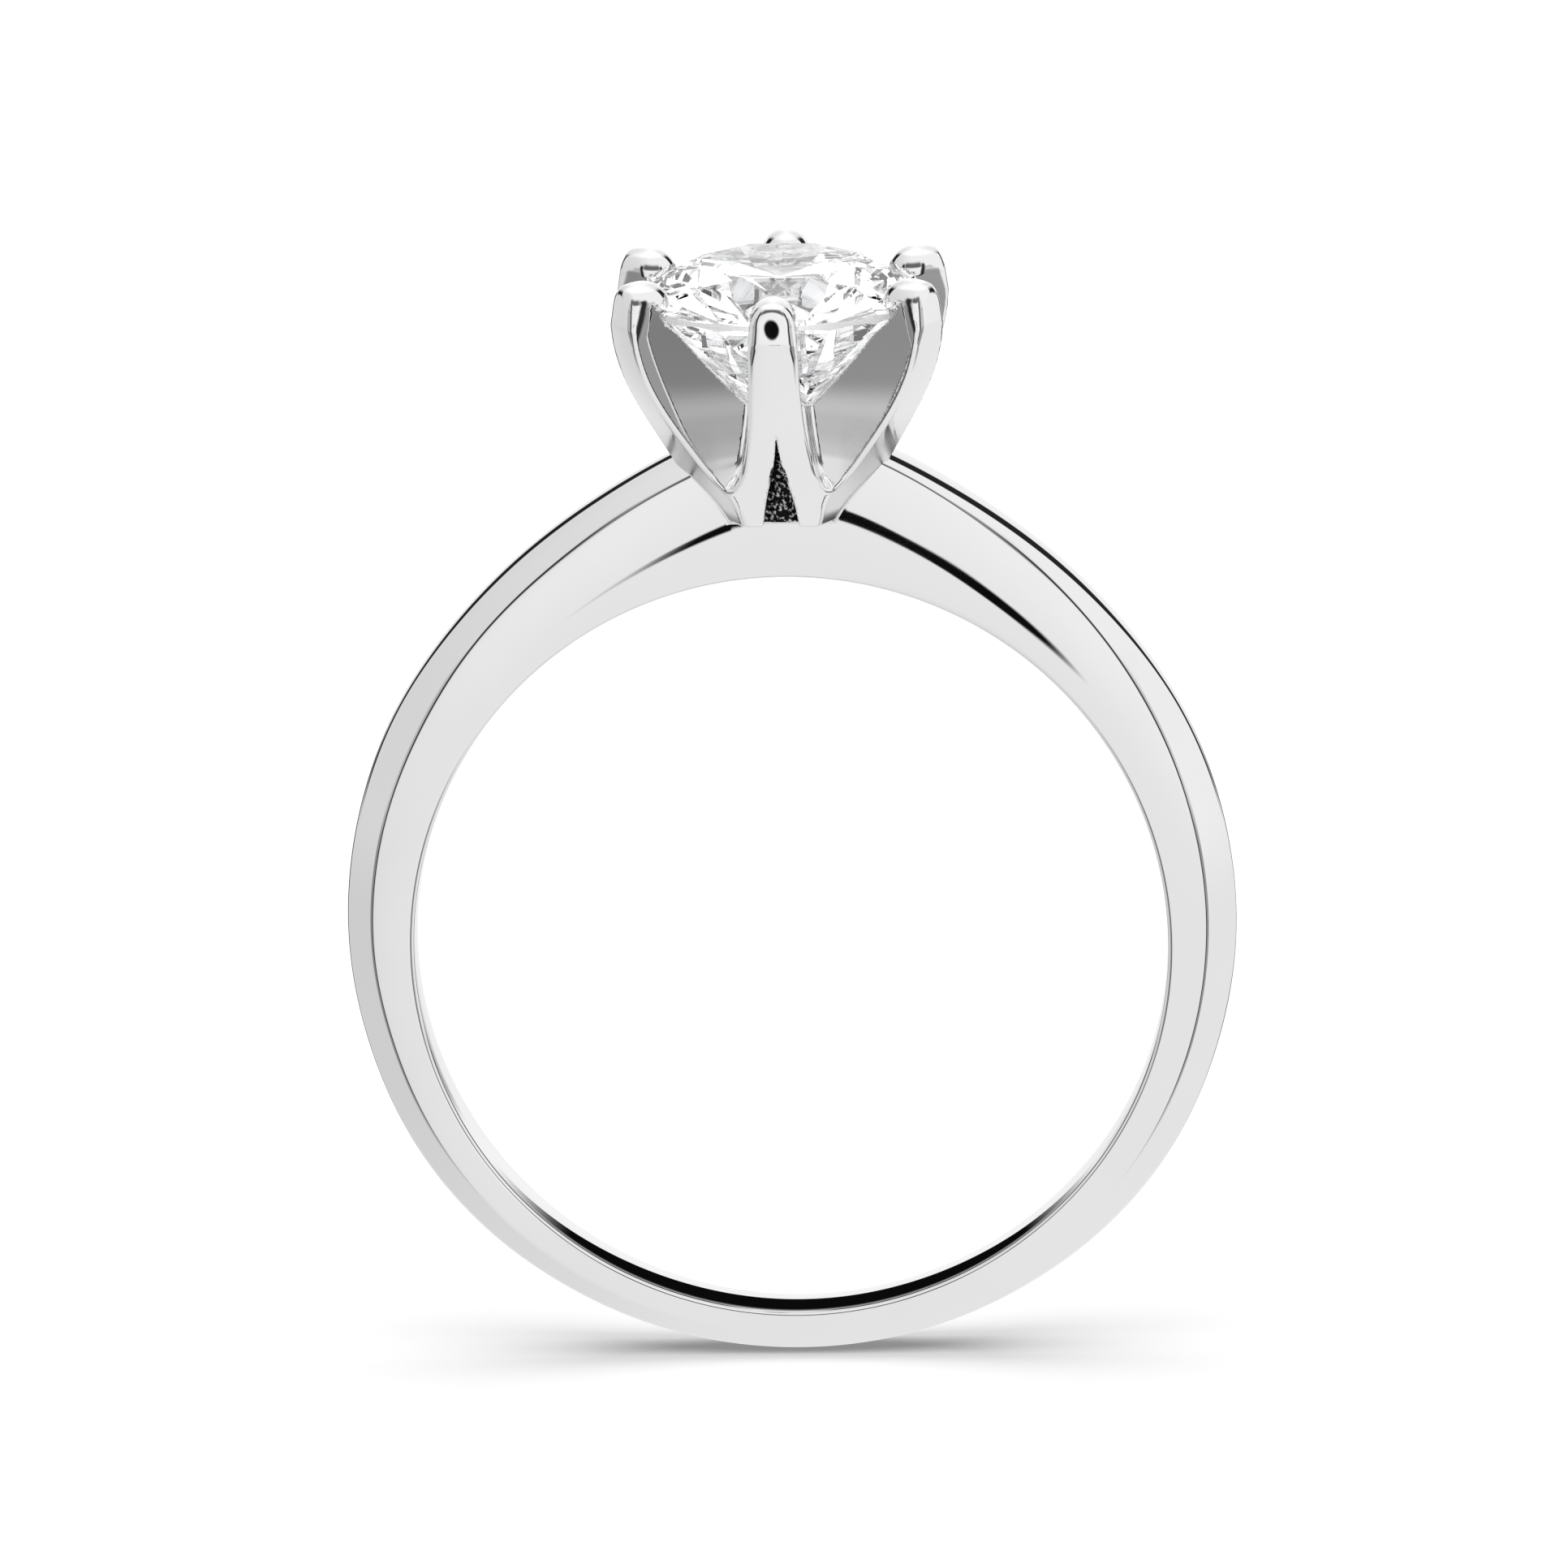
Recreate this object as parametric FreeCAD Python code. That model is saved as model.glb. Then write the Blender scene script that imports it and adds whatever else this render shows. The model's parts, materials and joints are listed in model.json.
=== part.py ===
"""Six-claw solitaire engagement ring: shank, claw head, seat solder and a round brilliant stone.

Millimetres.  The origin is the centre of the finger bore, whose axis is Y.  +Z points from the bore to the
stone, so the ring stands upright.  -Y is the front.
"""

import FreeCAD, Part
import math
import os

V = FreeCAD.Vector

# ---------------------------------------------------------------- driving dimensions
BORE_R = 8.5  # finger bore, 17.0 mm across
SHANK_HALF_WIDTH = 0.90  # half the front-to-back width of the shank
BORE_EDGE_R = 0.14  # comfort rounding between the bore and the side walls
SHANK_STATIONS = 48  # cross-sections round the shank

# Shank cross-section, given at a few angles down from the stone.  Each row is
# angle, thickness at the ridge, bevel foot (height as a part of the thickness, half-width),
# bevel head (drop below the ridge) and the bevel's lean in degrees.
SHANK_SECTIONS = (
    (0.0, 3.60, 0.88, 0.74, 0.13, 55.0),
    (13.5, 3.02, 0.86, 0.74, 0.13, 55.0),
    (20.0, 2.71, 0.84, 0.74, 0.14, 55.0),
    (30.0, 2.37, 0.79, 0.74, 0.15, 55.0),
    (45.0, 2.05, 0.74, 0.74, 0.10, 53.0),
    (60.0, 1.87, 0.67, 0.75, 0.05, 48.0),
    (75.0, 1.69, 0.645, 0.79, 0.045, 42.0),
    (90.0, 1.56, 0.62, 0.82, 0.040, 39.5),
    (105.0, 1.43, 0.58, 0.84, 0.045, 41.0),
    (120.0, 1.36, 0.56, 0.85, 0.070, 45.0),
    (135.0, 1.25, 0.56, 0.85, 0.090, 47.0),
    (150.0, 1.13, 0.56, 0.85, 0.100, 47.0),
    (180.0, 1.05, 0.56, 0.85, 0.100, 46.0),
)
WALL_MID_HEIGHT = 0.52  # middle of a side wall: its height as a part of the wall's
WALL_MID_LEAN = 0.27  # and how much of the wall's inward lean is taken there

STONE_R = 3.25  # round brilliant, 6.5 mm across
GIRDLE_Z = 14.75  # underside of the girdle
GIRDLE_T = 0.20
PAVILION_H = 2.77
CROWN_H = 0.75
TABLE_R = 0.58 * STONE_R
STAR_LENGTH = 0.50
LOWER_HALF_LENGTH = 0.77

CLAWS = 6
HEAD_BASE_Z = 9.85
HEAD_BASE_R = 1.45
NECK_BORE_R = 0.80
NECK_R = 0.98
NECK_RIM_R = 0.96
NECK_TOP_Z = 12.20
VALLEY_Z = 10.75  # bottom of the valleys between the claws
CLAW_TIP_R = 0.55  # radius of the ball at a claw's tip
CLAW_TIP_AT = (3.52, 15.12)  # its centre, from the stone's axis and in height
ARCHED_CLAWS = (0.0, 180.0)  # the front and back claws
ARCH_TOP_Z = 12.10
ARCH_HALF_WIDTH = 0.42
ABOVE_TIPS_Z = 16.2  # a height clear of the claw tips, where the cutting solids end
STONE_CLEARANCE = 0.01
SOLDER_T = 0.05  # the film of solder between the head and its seat in the shank
LONG = 6.0  # reaches past every claw from the stone's axis


# ---------------------------------------------------------------- helpers
def between(rows, x):
    """Smooth monotone interpolation of the columns after the first, at x in the first column."""

    def slope(i, c):
        if i in (0, len(rows) - 1):
            return 0.0
        a = (rows[i][c] - rows[i - 1][c]) / (rows[i][0] - rows[i - 1][0])
        b = (rows[i + 1][c] - rows[i][c]) / (rows[i + 1][0] - rows[i][0])
        return 0.0 if a * b <= 0 else 2.0 * a * b / (a + b)

    i = 0
    while i < len(rows) - 2 and x > rows[i + 1][0]:
        i += 1
    h = rows[i + 1][0] - rows[i][0]
    t = (x - rows[i][0]) / h
    out = []
    for c in range(1, len(rows[0])):
        a = rows[i][c]
        b = rows[i + 1][c]
        ma = slope(i, c) * h
        mb = slope(i + 1, c) * h
        cube = 2 * t**3 - 3 * t**2
        out.append((cube + 1) * a + (t**3 - 2 * t**2 + t) * ma - cube * b + (t**3 - t**2) * mb)
    return out


def line(a, b):
    return Part.LineSegment(a, b).toShape()


def spline(points):
    curve = Part.BSplineCurve()
    curve.interpolate(points)
    return curve.toShape()


def revolve(points):
    """Solid of revolution about Z from (radius, height) points, joined by straight lines."""
    ring = [V(r, 0, z) for r, z in points]
    face = Part.Face(Part.makePolygon(ring + ring[:1]))
    return face.revolve(V(0, 0, 0), V(0, 0, 1), 360)


def turned(shape, degrees):
    copy = shape.copy()
    copy.rotate(V(0, 0, 0), V(0, 0, 1), degrees)
    return copy


def largest(shape):
    return max(shape.Solids, key=lambda s: s.Volume)


# ---------------------------------------------------------------- shank
def shank_section(angle):
    """Closed section of the shank, reaching inside the bore, at an angle down from the stone."""
    thick, foot, foot_w, drop, lean = between(SHANK_SECTIONS, abs(angle))
    head_w = foot_w - (thick - drop - foot * thick) / math.tan(math.radians(lean))
    ridge = BORE_R + thick
    foot_r = BORE_R + foot * thick
    a = math.radians(angle)

    def at(y, r):
        return V(r * math.sin(a), y, r * math.cos(a))

    w = SHANK_HALF_WIDTH
    inside = BORE_R - 0.5
    wall_mid = BORE_R + WALL_MID_HEIGHT * foot * thick
    wall_y = w - (w - foot_w) * WALL_MID_LEAN

    def side(s):
        return spline([at(s * w, BORE_R), at(s * wall_y, wall_mid), at(s * foot_w, foot_r)])

    edges = [
        line(at(-w, inside), at(w, inside)),
        line(at(w, inside), at(w, BORE_R)),
        side(1),
        line(at(foot_w, foot_r), at(head_w, ridge - drop)),
        Part.Arc(at(head_w, ridge - drop), at(0, ridge), at(-head_w, ridge - drop)).toShape(),
        line(at(-head_w, ridge - drop), at(-foot_w, foot_r)),
        side(-1),
        line(at(-w, BORE_R), at(-w, inside)),
    ]
    return Part.Wire(Part.__sortEdges__(edges))


def bore_cutter():
    """The finger bore with its two comfort-rounded mouths."""
    w = SHANK_HALF_WIDTH
    e = BORE_EDGE_R
    s = e * (1 - math.sqrt(0.5))

    def at(r, y):
        return V(r, y, 0)

    out = w + 1.0
    edges = [
        line(at(0, -out), at(BORE_R + e, -out)),
        line(at(BORE_R + e, -out), at(BORE_R + e, -w)),
        Part.Arc(at(BORE_R + e, -w), at(BORE_R + s, -w + s), at(BORE_R, -w + e)).toShape(),
        line(at(BORE_R, -w + e), at(BORE_R, w - e)),
        Part.Arc(at(BORE_R, w - e), at(BORE_R + s, w - s), at(BORE_R + e, w)).toShape(),
        line(at(BORE_R + e, w), at(BORE_R + e, out)),
        line(at(BORE_R + e, out), at(0, out)),
        line(at(0, out), at(0, -out)),
    ]
    face = Part.Face(Part.Wire(edges))
    return face.revolve(V(0, 0, 0), V(0, 1, 0), 360)


def shank_blank():
    step = 360.0 / SHANK_STATIONS
    sections = [shank_section(-180 + step * k) for k in range(SHANK_STATIONS)]
    hoop = Part.makeLoft(sections, True, False, True)
    return hoop.cut(bore_cutter())


# ---------------------------------------------------------------- claw head
def claw_outline(grow=0.0):
    """Outer (radius, height) outline of a claw from the base up to the outside of its tip ball."""
    line_points = [
        (HEAD_BASE_R, HEAD_BASE_Z),
        (1.66, 10.25),
        (2.03, 10.75),
        (2.76, 11.73),
        (3.33, 12.56),
        (3.85, 13.54),
        (4.09, 14.30),
        (4.13, 14.90),
    ]
    return [(r + grow, z) for r, z in line_points]


def envelope(grow=0.0):
    """Everything inside the claws' outer outline, as one solid of revolution, open-ended above the tips."""
    outline = claw_outline(grow)
    bottom = HEAD_BASE_Z - grow
    edges = [line(V(0, 0, bottom), V(outline[0][0], 0, bottom))]
    if grow:
        edges.append(line(V(outline[0][0], 0, bottom), V(outline[0][0], 0, HEAD_BASE_Z)))
    edges.append(spline([V(r, 0, z) for r, z in outline]))
    rim = V(outline[-1][0], 0, outline[-1][1])
    over = V(rim.x, 0, ABOVE_TIPS_Z)
    edges.append(line(rim, over))
    edges.append(line(over, V(0, 0, ABOVE_TIPS_Z)))
    edges.append(line(V(0, 0, ABOVE_TIPS_Z), V(0, 0, bottom)))
    return Part.Face(Part.Wire(edges)).revolve(V(0, 0, 0), V(0, 0, 1), 360)


def blade():
    """The claw at the front: its two sides as seen from the front, pushed back to the stone's axis."""
    half = [
        (1.22, HEAD_BASE_Z - 0.2),
        (1.14, 10.40),
        (1.02, VALLEY_Z),
        (0.88, 11.05),
        (0.76, 11.60),
        (0.66, 12.40),
        (0.60, 13.20),
        (0.57, 14.20),
        (0.57, ABOVE_TIPS_Z),
    ]
    right = [V(t, 0, z) for t, z in half]
    left = [V(-t, 0, z) for t, z in reversed(half)]
    edges = [
        spline(right[:-1]),
        line(right[-2], right[-1]),
        line(right[-1], left[0]),
        line(left[0], left[1]),
        spline(left[1:]),
        line(left[-1], right[0]),
    ]
    return Part.Face(Part.Wire(edges)).extrude(V(0, -LONG, 0))


def tip_rounding():
    """A ball-nosed bullet over the front claw's tip, carried inwards below the ball to keep the fin whole."""
    tip_r, tip_z = CLAW_TIP_AT
    floor = HEAD_BASE_Z - 1
    skirt = [V(r, 0, z) for r, z in ((CLAW_TIP_R, tip_z), (0.59, 14.80), (0.72, 14.20), (1.00, 13.50))]
    wide = [V(3, 0, 12.5), V(3, 0, floor)]
    nose_mid = V(CLAW_TIP_R * 0.6, 0, tip_z + CLAW_TIP_R * 0.8)
    nose = Part.Arc(V(0, 0, tip_z + CLAW_TIP_R), nose_mid, skirt[0]).toShape()
    side = [spline(skirt), line(skirt[-1], wide[0]), line(wide[0], wide[1])]
    closing = [line(wide[1], V(0, 0, floor)), line(V(0, 0, floor), V(0, 0, tip_z + CLAW_TIP_R))]
    bullet = Part.Face(Part.Wire([nose] + side + closing)).revolve(V(0, 0, 0), V(0, 0, 1), 360)
    half = [line(V(0, 0, tip_z), skirt[0])] + side + [closing[0], line(V(0, 0, floor), V(0, 0, tip_z))]
    tail = Part.Face(Part.Wire(half)).extrude(V(0, tip_r + 1, 0))
    both = bullet.fuse([tail, tail.mirror(V(0, 0, 0), V(1, 0, 0))])
    both.translate(V(0, -tip_r, 0))
    return both


def blades():
    first = blade().common(tip_rounding())
    step = 360.0 / CLAWS
    return first.multiFuse([turned(first, step * k) for k in range(1, CLAWS)])


def inner_funnel():
    """The space the blades leave round the stone, down to the rim of the neck."""
    seat_z = GIRDLE_Z - 0.05
    top = CLAW_TIP_AT[1] + CLAW_TIP_R + 1
    inner_tip = CLAW_TIP_AT[0] - CLAW_TIP_R - 0.12
    return revolve(
        [
            (0, NECK_TOP_Z),
            (NECK_RIM_R, NECK_TOP_Z),
            (STONE_R - 0.15, seat_z),
            (inner_tip, seat_z + 0.6),
            (inner_tip, top),
            (0, top),
        ]
    )


def stone_space():
    """The stone's swept outline with a little clearance, which cuts the seats in the claws."""
    c = STONE_CLEARANCE
    culet_z = GIRDLE_Z - PAVILION_H
    low_r = (1 - LOWER_HALF_LENGTH) * STONE_R
    low_z = culet_z + PAVILION_H * low_r * math.cos(math.radians(22.5)) / STONE_R
    star_r, star_z = star_point()
    return revolve(
        [
            (0, culet_z - 2 * c),
            (low_r + 2 * c, low_z - c),
            (STONE_R + c, GIRDLE_Z - c),
            (STONE_R + c, GIRDLE_Z + GIRDLE_T + c),
            (star_r + c, star_z + 2 * c),
            (TABLE_R, GIRDLE_Z + GIRDLE_T + CROWN_H + c),
            (0, GIRDLE_Z + GIRDLE_T + CROWN_H + c),
        ]
    )


def arch():
    """The pointed opening that splits the foot of an arched claw into two legs."""
    foot = V(ARCH_HALF_WIDTH, 0, HEAD_BASE_Z - 0.1)
    right = [V(0, 0, ARCH_TOP_Z), V(0.13, 0, 11.3), V(0.25, 0, 10.8), foot]
    left = [V(-p.x, 0, p.z) for p in reversed(right)]
    edges = [spline(right), line(right[-1], left[0]), spline(left)]
    return Part.Face(Part.Wire(edges)).extrude(V(0, -LONG, 0))


def neck():
    """The hollow neck that ties the claws together, from the base up to the rim under the stone."""
    return revolve(
        [
            (NECK_BORE_R, HEAD_BASE_Z),
            (NECK_R, HEAD_BASE_Z),
            (NECK_RIM_R, NECK_TOP_Z),
            (NECK_BORE_R, NECK_TOP_Z),
        ]
    )


def claw_head(cuts):
    body = envelope().common(cuts)
    body = body.cut(inner_funnel())
    for bearing in ARCHED_CLAWS:
        body = body.cut(turned(arch(), bearing))
    body = body.fuse(neck())
    bore = Part.makeCylinder(NECK_BORE_R, 4, V(0, 0, HEAD_BASE_Z - 0.5))
    body = body.cut(bore)
    body = body.cut(stone_space())
    return largest(body.removeSplitter())


# ---------------------------------------------------------------- stone
def polar(r, degrees, z):
    a = math.radians(degrees)
    return V(r * math.cos(a), r * math.sin(a), z)


def star_point():
    """Radius and height of the tip of a star facet."""
    edge_r = TABLE_R * math.cos(math.radians(22.5))
    r = edge_r + STAR_LENGTH * (STONE_R - edge_r)
    along = r * math.cos(math.radians(22.5))
    z = GIRDLE_Z + GIRDLE_T + CROWN_H * (STONE_R - along) / (STONE_R - TABLE_R)
    return r, z


def beyond(a, b, c):
    """A block filling the space on the far side of the plane through a, b and c from the stone's middle."""
    normal = (b - a).cross(c - a)
    normal.normalize()
    if normal.dot(a - V(0, 0, GIRDLE_Z)) < 0:
        normal = normal * -1
    size = 12.0
    block = Part.makeBox(size, size, size, V(-size / 2, -size / 2, 0))
    block.Placement = FreeCAD.Placement(a, FreeCAD.Rotation(V(0, 0, 1), normal))
    return block


def sideways(degrees):
    """Unit vector along the girdle at a bearing round the stone's axis."""
    a = math.radians(degrees)
    return V(-math.sin(a), math.cos(a), 0)


def diamond():
    """Round brilliant with its girdle: table, 8 bezels, 8 stars, 16 upper and 16 lower halves, 8 mains."""
    top_z = GIRDLE_Z + GIRDLE_T
    table_z = top_z + CROWN_H
    culet = V(0, 0, GIRDLE_Z - PAVILION_H)
    star_r, star_z = star_point()
    low_r = (1 - LOWER_HALF_LENGTH) * STONE_R
    low_z = culet.z + PAVILION_H * low_r * math.cos(math.radians(22.5)) / STONE_R
    stone = Part.makeCylinder(STONE_R, table_z - culet.z, culet)
    for k in range(8):
        a = 45.0 * k + 22.5
        table_corner = polar(TABLE_R, a, table_z)
        next_corner = polar(TABLE_R, a + 45, table_z)
        upper = polar(STONE_R, a, top_z)
        lower = polar(STONE_R, a, GIRDLE_Z)
        bezel = beyond(table_corner, upper, upper + sideways(a))
        star = beyond(table_corner, next_corner, polar(star_r, a + 22.5, star_z))
        main = beyond(culet, lower, lower + sideways(a))
        for cutter in (bezel, star, main):
            stone = stone.cut(cutter)
        for half in (a - 22.5, a + 22.5):
            upper_half = beyond(upper, polar(STONE_R, half, top_z), polar(star_r, half, star_z))
            lower_half = beyond(lower, polar(STONE_R, half, GIRDLE_Z), polar(low_r, half, low_z))
            stone = stone.cut(upper_half)
            stone = stone.cut(lower_half)
    return largest(stone)


def main():
    os.makedirs("parts", exist_ok=True)
    cuts = blades()
    head = claw_head(cuts)
    blank = shank_blank()
    shank = largest(blank.cut(envelope(SOLDER_T)))
    solder = blank.common(envelope(SOLDER_T).common(cuts)).cut(envelope())
    parts = {
        "shank": shank,
        "claw_head": head,
        "seat_solder": solder,
        "diamond": diamond(),
    }
    for name, shape in parts.items():
        print(name, shape.isValid(), len(shape.Solids), round(shape.Volume, 3), len(shape.Faces))
        shape.exportStep("parts/" + name + ".step")


main()
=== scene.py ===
# Six-claw solitaire engagement ring: polished band, cast claw head, solder seam and round brilliant.
# Blender works in metres, in the CAD frame.  Shapes are worked out in millimetres and scaled by MM.
import json
import math

import bmesh
import bpy
import numpy as np
from mathutils import Matrix, Vector


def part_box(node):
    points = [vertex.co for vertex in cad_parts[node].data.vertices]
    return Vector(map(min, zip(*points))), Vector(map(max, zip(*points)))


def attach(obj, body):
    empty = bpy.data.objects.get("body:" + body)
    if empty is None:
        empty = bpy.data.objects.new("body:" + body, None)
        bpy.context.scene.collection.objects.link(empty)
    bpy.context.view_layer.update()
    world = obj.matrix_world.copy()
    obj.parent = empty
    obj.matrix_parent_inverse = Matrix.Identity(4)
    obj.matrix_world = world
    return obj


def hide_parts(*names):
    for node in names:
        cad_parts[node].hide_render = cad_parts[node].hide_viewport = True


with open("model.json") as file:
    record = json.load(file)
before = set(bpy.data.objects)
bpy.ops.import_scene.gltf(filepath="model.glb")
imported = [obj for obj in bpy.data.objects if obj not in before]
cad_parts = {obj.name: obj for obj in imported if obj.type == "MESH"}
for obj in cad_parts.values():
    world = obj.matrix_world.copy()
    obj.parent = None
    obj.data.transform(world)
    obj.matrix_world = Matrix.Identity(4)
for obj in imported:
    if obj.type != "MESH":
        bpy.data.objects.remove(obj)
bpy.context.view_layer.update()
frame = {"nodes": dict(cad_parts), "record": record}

MM = 0.001


def box_mm(node):
    low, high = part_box(node)
    return np.array(low) / MM, np.array(high) / MM


# ---------------------------------------------------------------- driving dimensions, millimetres
SHANK_LOW, SHANK_HIGH = box_mm("shank")
HEAD_LOW, HEAD_HIGH = box_mm("claw_head")
STONE_TOP = box_mm("diamond")[1][2]

BORE_R = frame["record"]["mounts"][0]["dims"]["r_mm"]
SHANK_HALF_WIDTH = SHANK_HIGH[1]
FLOOR_Z = SHANK_LOW[2]
HEAD_BASE_Z = HEAD_LOW[2]

# Band cross-section at angles down from the stone: angle, thickness at the ridge, bevel foot (height as
# a part of the thickness, half-width), bevel head (drop below the ridge), the bevel's lean in degrees, and
# how much lower than that the hand-finished bevel foot runs on the left, and higher on the right.
BAND_SECTIONS = (
    (0.0, 3.60, 0.88, 0.74, 0.13, 55.0, 0.055),
    (13.5, 3.02, 0.86, 0.74, 0.13, 55.0, 0.055),
    (20.0, 2.71, 0.84, 0.74, 0.14, 55.0, 0.055),
    (30.0, 2.37, 0.79, 0.74, 0.15, 55.0, 0.052),
    (45.0, 2.05, 0.74, 0.74, 0.10, 53.0, 0.030),
    (60.0, 1.87, 0.67, 0.75, 0.05, 48.0, 0.012),
    (75.0, 1.69, 0.645, 0.79, 0.045, 42.0, -0.015),
    (90.0, 1.56, 0.62, 0.82, 0.040, 39.5, -0.020),
    (105.0, 1.43, 0.58, 0.84, 0.045, 41.0, 0.0),
    (120.0, 1.36, 0.56, 0.85, 0.070, 45.0, 0.0),
    (135.0, 1.25, 0.56, 0.85, 0.090, 47.0, 0.0),
    (150.0, 1.13, 0.56, 0.85, 0.100, 47.0, 0.0),
    (180.0, 1.05, 0.56, 0.85, 0.100, 46.0, 0.0),
)
BAND_STATIONS = 480
BLEND_STEP = 0.5  # degrees between the rows that are blended along the band
BLEND_SPREAD = 3.5  # the spread of that blending, in degrees
BLEND_ROWS = 24  # and the rows that it takes in either side
SKEW_BLEND = 6  # degrees either side of the top over which the bevel changes from left to right
WALL_MID_HEIGHT = 0.52  # where the side wall's belly is, as a part of the bevel foot's height
WALL_MID_LEAN = 0.27  # how much of its lean the wall has made by then
EDGE_W = 0.14  # comfort rounding at the bore, across the band
EDGE_H = (0.30, 0.16)  # and up the side wall, at the stone and past EDGE_H_ANGLE
EDGE_H_ANGLE = 50
CREASE_CUT = 0.08  # how far the polishing has eaten each side of the bevel's foot
HEAD_CREASE = ((0, 35, 60, 80), (0.14, 0.12, 0.08, 0.04))  # and each side of its head, by angle
BORE_CROWN = 0.04  # how far the comfort-fit bore falls away towards its mouths
RIDGE_INSET = 0.003  # keeps the polished ridge just inside the band's own solid
BORE_POINTS, EDGE_POINTS, SIDE_POINTS, DOME_POINTS = 7, 9, 15, 8  # points along the parts of a half section
FOOT_CREASE_POINTS, HEAD_CREASE_POINTS = 6, 9
SEAT_TOP_Z = 13.5  # the cutter for the head's seat ends above the band
SEAT_SIDES, SEAT_RINGS = 240, 60

# The painted dark reflection in the bore, at the front of the hoop's bottom: a black patch in the metal
# stands in for it
PAINTED_REFLECTION_DEPTH = (0.03, 0.055)  # how far beyond the bore's radius it starts to fade, and is gone
PAINTED_REFLECTION_SPAN = (-0.80, -0.58)  # height over radius where it starts to fade up the sides, and is gone
PAINTED_REFLECTION_TAPER = (-1.0, -0.62)  # height over radius between which its back edge comes forwards
PAINTED_REFLECTION_BACK = (0.15, -0.45)  # where across the band the back edge is there, with the front negative

CLAWS = 6
# Height and distance from the stone's axis of the claws' outer faces
CLAW_OUTLINE = ((9.85, 1.45), (10.25, 1.66), (10.75, 2.03), (11.73, 2.76), (12.56, 3.33), (13.54, 3.85),
                (14.30, 4.07), (14.60, 4.13), (14.85, 4.18), (15.60, 4.25))
# Height and half-width of a claw, which widens at its foot until it meets its neighbours
CLAW_HALF = ((9.65, 1.42), (10.45, 1.28), (10.75, 1.15), (11.05, 0.94), (11.60, 0.77), (12.40, 0.66),
             (13.20, 0.60), (14.20, 0.57), (16.20, 0.57))
FILED = (15.10, 4.073, 0.14, 0.009)  # the filed face at the tip: height, radius, lean and bow
FACE_ROUND = 1.3  # how much rounder than the circle about the stone's axis the outer faces are at the tips
FACE_FLAT = (10.8, 14.4)  # they are flat up to the first height and fully rounded from the second
TIP_RADII = (0.95, 0.56, 0.60)  # the domed tip: outwards, across the claw, upwards
TIP_INNER_R = 0.66  # and inwards
TIP_AT = (3.50, 15.05)  # its centre, from the stone's axis and in height
TIP_GROW = ((13.2, 14.2, TIP_AT[1]), (0.9, 0.12, 0.0))  # the dome widens into the claw below, by height
ARCH_HALF = ((9.75, 0.42), (10.80, 0.25), (11.30, 0.13), (12.35, 0.0))  # height and half-width
NECK_OUTER = ((9.85, 0.98), (10.67, 0.99), (11.60, 0.98), (12.20, 0.96))  # height and radius
NECK_BORE_R = 0.80
FUNNEL = ((12.20, 0.96), (14.70, 3.10), (15.30, 2.85), (16.30, 2.85))  # the claws' inner faces
# Radii of the head's edges and fillets
EDGE_R = {"claw": 0.13, "tip": 0.05, "filed": 0.03, "arch": 0.03, "funnel": 0.06, "bore": 0.04, "base": 0.05,
          "stone": 0.02, "axis": 0.01}
FILLET_R = {"claws": 0.16, "faces": 0.10, "neck": 0.04}
HEAD_VOXEL = 0.055
HEAD_REFINES = 4  # times the sampled surface is moved onto the exact one
SOLDER_T = 0.05

STONE_CUT_R = 3.25
STONE_CLEARANCE = 0.01
STONE_SPACE_R = STONE_CUT_R + 2 * STONE_CLEARANCE
TABLE_PART = 0.58  # the table's radius, as a part of the stone's
GIRDLE_Z = 14.75
GIRDLE_T = 0.20
PAVILION_H = 2.77

# Finish of the head: how far in from the claws' faces the rough casting, painted nearly black as the arches'
# shade, starts, the height above the tips' centre where the satin with its painted glow starts, and where
# the feet of the side claws turn satin, outwards and downwards.
CAST_SHADE_DEPTH = 0.10
SATIN_TIP = (0.40, 0.48)
SATIN_FOOT_OUT = (1.3, 1.9)
SATIN_FOOT_TOP = (11.5, 12.6)

# ---------------------------------------------------------------- studio, metres, watts and degrees
FLOOR_HALF = 1.2
PAPER, PAPER_GLOW = 0.93, 0.25
TOP_LIGHT_SIZE, TOP_LIGHT_HEIGHT, TOP_LIGHT_POWER = 1.3, 0.60, 6.6
# Bearings are from the front, to the right, and heights are from the horizon.  An oval is its centre's
# bearing and height, then its half-width and half-height.
CLAW_SPOT = (-2.9, 2.87, 6.2, 0.47)  # seen in the front claw's filed face
STREAK = (-1.1, -7.3, 5.5)  # seen along the band's flanks; its half-height grows to the right
STREAK_TALL = (0.2, 2.2, 0.52, 0.95)  # from and to these bearings, between these half-heights
STREAK_FADE = (-6.2, -4.8, 0.4, 1.0)  # and it is weaker to the left, in the same way
# Dark gaps between the lights, the same on both sides: bearing and height (from, to, softness at each end),
# and how dark.
GAPS = (
    ((36.0, 50.0, 4.0, 4.0), (-35.0, 35.0, 8.0, 6.0), 0.97),
    ((50.0, 76.0, 4.0, 4.0), (-35.0, 2.0, 8.0, 6.0), 0.62),
    ((50.0, 66.0, 4.0, 4.0), (4.0, 18.0, 5.0, 4.0), 0.35),
    ((-10.0, 35.0, 1.0, 5.0), (20.0, 42.0, 4.0, 8.0), 0.85),
)
BEHIND = (0.40, 0.78, 0.04, 0.02)  # the dark wall behind the ring, by how far back a direction points
BEHIND_LOW = (0.77, 0.93, 0.02, 0.02)  # and its lower part
# The camera, in degrees and millimetres
CAMERA_AZIMUTH = 2.7
CAMERA_HEIGHT = 13.5
CAMERA_ROLL = 1.15
LENS = 1000.0
SENSOR = 36.0
VIEW_WIDTH = 35.5
VIEW_CENTRE = (-0.193, 3.456)


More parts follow.
